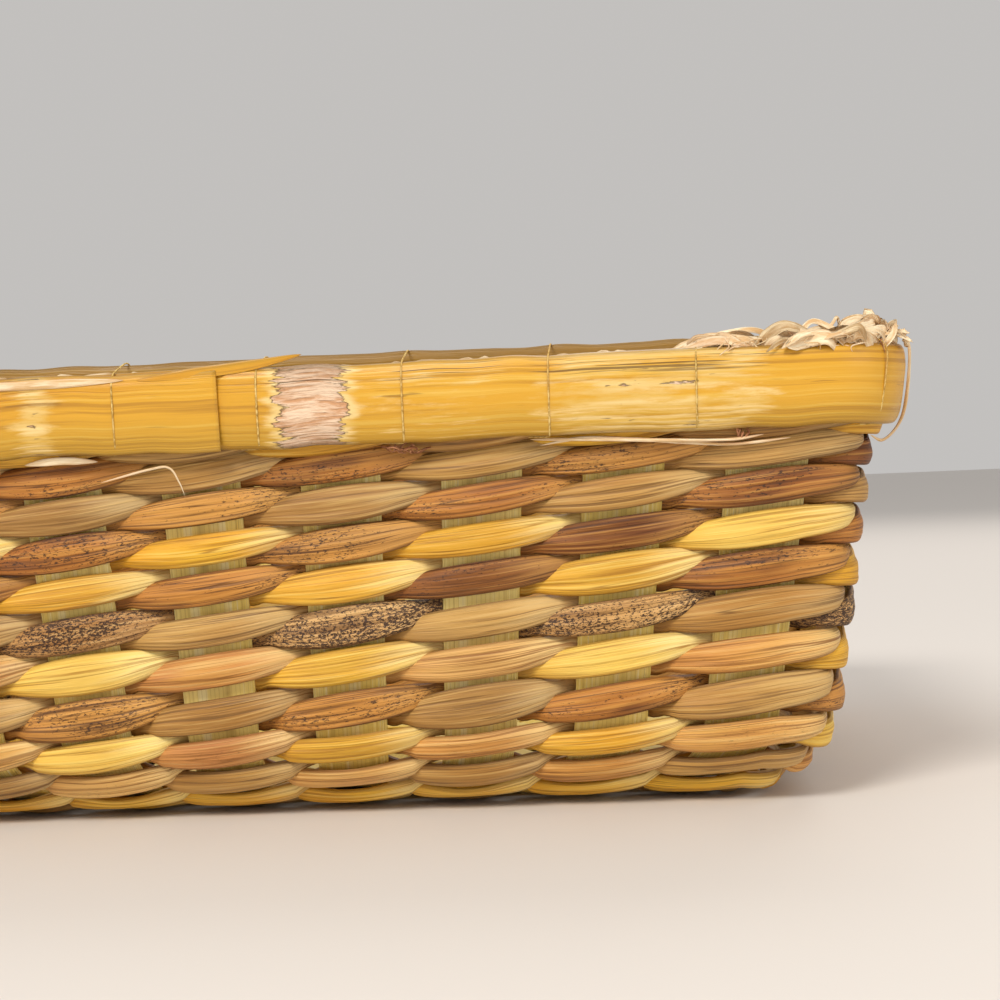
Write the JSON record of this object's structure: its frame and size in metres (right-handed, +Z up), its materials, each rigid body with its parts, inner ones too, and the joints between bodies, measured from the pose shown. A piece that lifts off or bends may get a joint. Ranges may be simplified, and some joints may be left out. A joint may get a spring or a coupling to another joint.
{
  "type": "winnowing basket",
  "caption": "Small rectangular twined basket with rounded corners, flaring walls, a flat woven base and a thick rim of split stems sewn on with thread.",
  "frame": {"origin": "centre of the basket's footprint, at the level of the flat stitches that it stands on", "axes": "+X along the long side, towards the end where the outer stems' front splice laps; +Y towards the back wall; +Z up, out of the open mouth"},
  "size_m": [0.2951, 0.2432, 0.1097],
  "materials": {
    "slat": "pale yellow-green dried reed strip, ribbed lengthwise",
    "leaf_yellow": "dried leaf strand, straw yellow, satin",
    "leaf_grey": "dried leaf strand, grey-olive tan, dull satin",
    "leaf_tan": "dried leaf strand, pinkish tan, satin",
    "leaf_brown": "dried leaf strand, spotted orange-brown, satin",
    "leaf_speckled": "dried leaf strand, tan with fine black specks",
    "stem_skin": "split plant stem with golden skin, semi-gloss, worn to pale pith in places",
    "pith": "loose dried pith and leaf fibre, matt",
    "thread": "fine twisted plant-fibre thread, matt"
  },
  "bodies": {
    "root": {"cross_slat_1": "slat", "cross_slat_2": "slat", "cross_slat_3": "slat", "cross_slat_4": "slat", "cross_slat_5": "slat", "cross_slat_6": "slat", "cross_slat_7": "slat", "cross_slat_8": "slat", "long_slat_1": "slat", "long_slat_2": "slat", "long_slat_3": "slat", "long_slat_4": "slat", "long_slat_5": "slat", "long_slat_6": "slat", "base_filler_1": "slat", "base_filler_2": "slat", "base_filler_3": "slat", "base_filler_4": "slat", "base_filler_5": "slat", "weft_01_strand_a": "leaf_yellow", "weft_01_strand_b": "leaf_grey", "weft_02_strand_a": "leaf_yellow", "weft_02_strand_b": "leaf_yellow", "weft_03_strand_a": "leaf_tan", "weft_03_strand_b": "leaf_grey", "weft_04_strand_a": "leaf_tan", "weft_04_strand_b": "leaf_yellow", "weft_05_strand_a": "leaf_brown", "weft_05_strand_b": "leaf_grey", "weft_06_strand_a": "leaf_tan", "weft_06_strand_b": "leaf_yellow", "weft_07_strand_a": "leaf_speckled", "weft_07_strand_b": "leaf_grey", "weft_08_strand_a": "leaf_brown", "weft_08_strand_b": "leaf_yellow", "weft_09_strand_a": "leaf_brown", "weft_09_strand_b": "leaf_yellow", "weft_10_strand_a": "leaf_brown", "weft_10_strand_b": "leaf_grey", "weft_11_strand_a": "leaf_brown", "weft_11_strand_b": "leaf_grey", "weft_12_strand_a": "leaf_grey", "weft_12_strand_b": "leaf_yellow", "rim_outer_stem_right": "stem_skin", "rim_outer_stem_left": "stem_skin", "rim_inner_stem_back": "stem_skin", "rim_inner_stem_front": "stem_skin", "rim_packing_front": "pith", "rim_packing_back": "pith", "rim_sewing_thread": "thread"}
  },
  "joints": []
}
